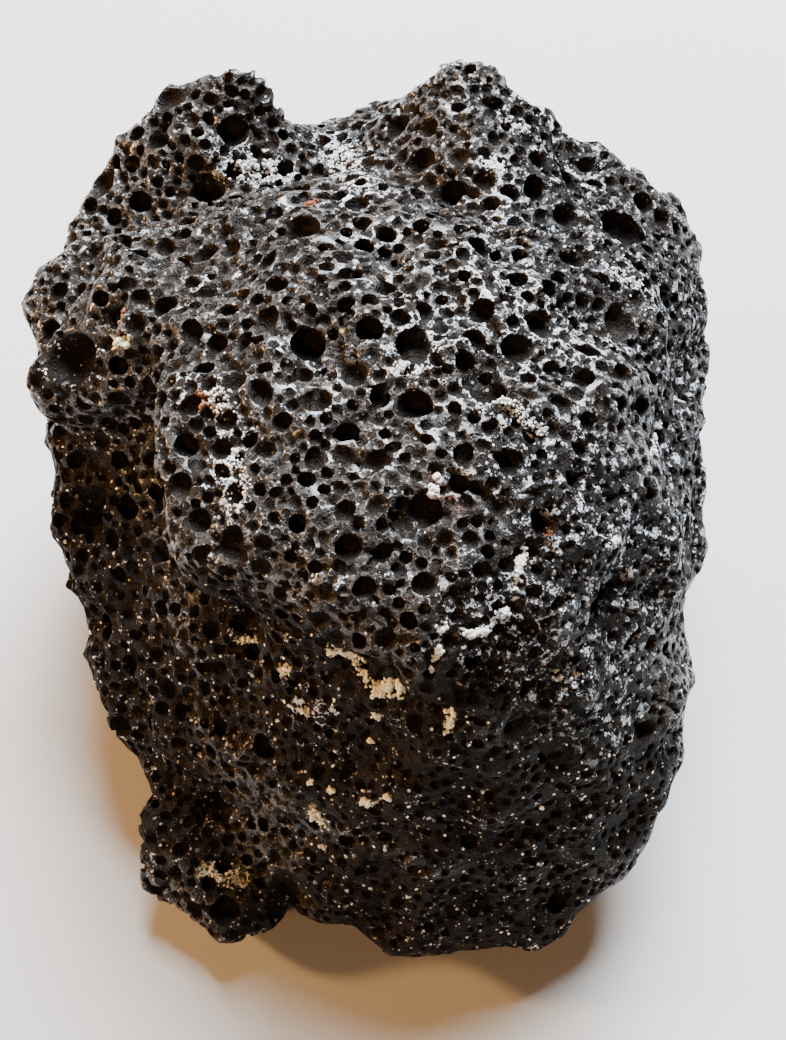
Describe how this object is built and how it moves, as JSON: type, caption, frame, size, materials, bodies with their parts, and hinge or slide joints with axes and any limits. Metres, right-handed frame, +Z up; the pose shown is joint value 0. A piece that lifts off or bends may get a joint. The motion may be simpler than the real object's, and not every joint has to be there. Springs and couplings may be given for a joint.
{
  "type": "lava rock",
  "caption": "Fist-sized boulder of dark vesicular basalt, pitted all over by burst gas bubbles, resting on a flat worn facet.",
  "frame": {"origin": "a point near the middle of the flat facet that the rock rests on", "axes": "+Z up from the resting facet, +Y towards the rock's back, where its two humps stand, +X to its right as seen from the front"},
  "size_m": [0.0905, 0.109, 0.0678],
  "materials": {
    "basalt": null
  },
  "bodies": {
    "root": {"lava_rock": "basalt"}
  },
  "joints": []
}
